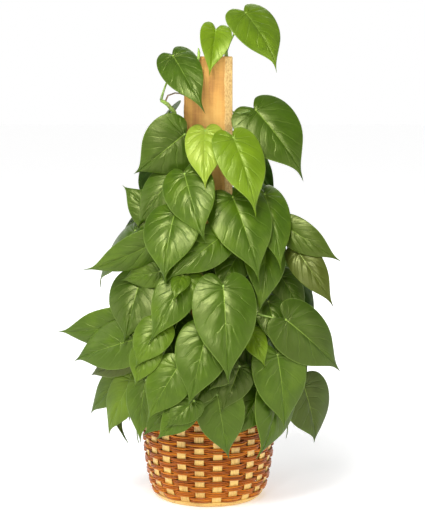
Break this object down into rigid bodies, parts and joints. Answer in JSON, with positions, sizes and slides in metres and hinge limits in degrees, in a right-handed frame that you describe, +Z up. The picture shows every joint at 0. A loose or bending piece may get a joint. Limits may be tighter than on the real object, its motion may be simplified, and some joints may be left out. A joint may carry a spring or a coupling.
{
  "type": "potted heartleaf philodendron",
  "caption": "Heartleaf philodendron: leafy vines climb a wooden post that stands in the soil of a grow pot, inside a round woven basket.",
  "frame": {"origin": "centre of the basket's flat underside, on the surface that it stands on", "axes": "+Z up along the climbing post; the front of the plant, which shows the hewn face of the post, faces -Y; +X is to its right seen from the front"},
  "size_m": [0.3769, 0.2995, 0.6609],
  "materials": {
    "foliage": "glossy waxy leaf, lighter midrib and margin",
    "cane": "varnished rust-brown cane",
    "pale_wood": "pale unstained wood with a thin varnish",
    "grow_pot_plastic": "dark green-black moulded plastic",
    "soil": "loose dark potting soil",
    "post_wood": "sawn, unfinished, warm orange-tan grain"
  },
  "bodies": {
    "root": {"basket_weave": "cane", "basket_frame": "pale_wood", "basket_rim": "cane", "grow_pot": "grow_pot_plastic", "soil": "soil", "post": "post_wood", "vine_front": "foliage", "vine_front_left": "foliage", "vine_left": "foliage", "vine_back_left": "foliage", "vine_back": "foliage", "vine_back_right": "foliage", "vine_right": "foliage", "vine_front_right": "foliage"}
  },
  "joints": []
}
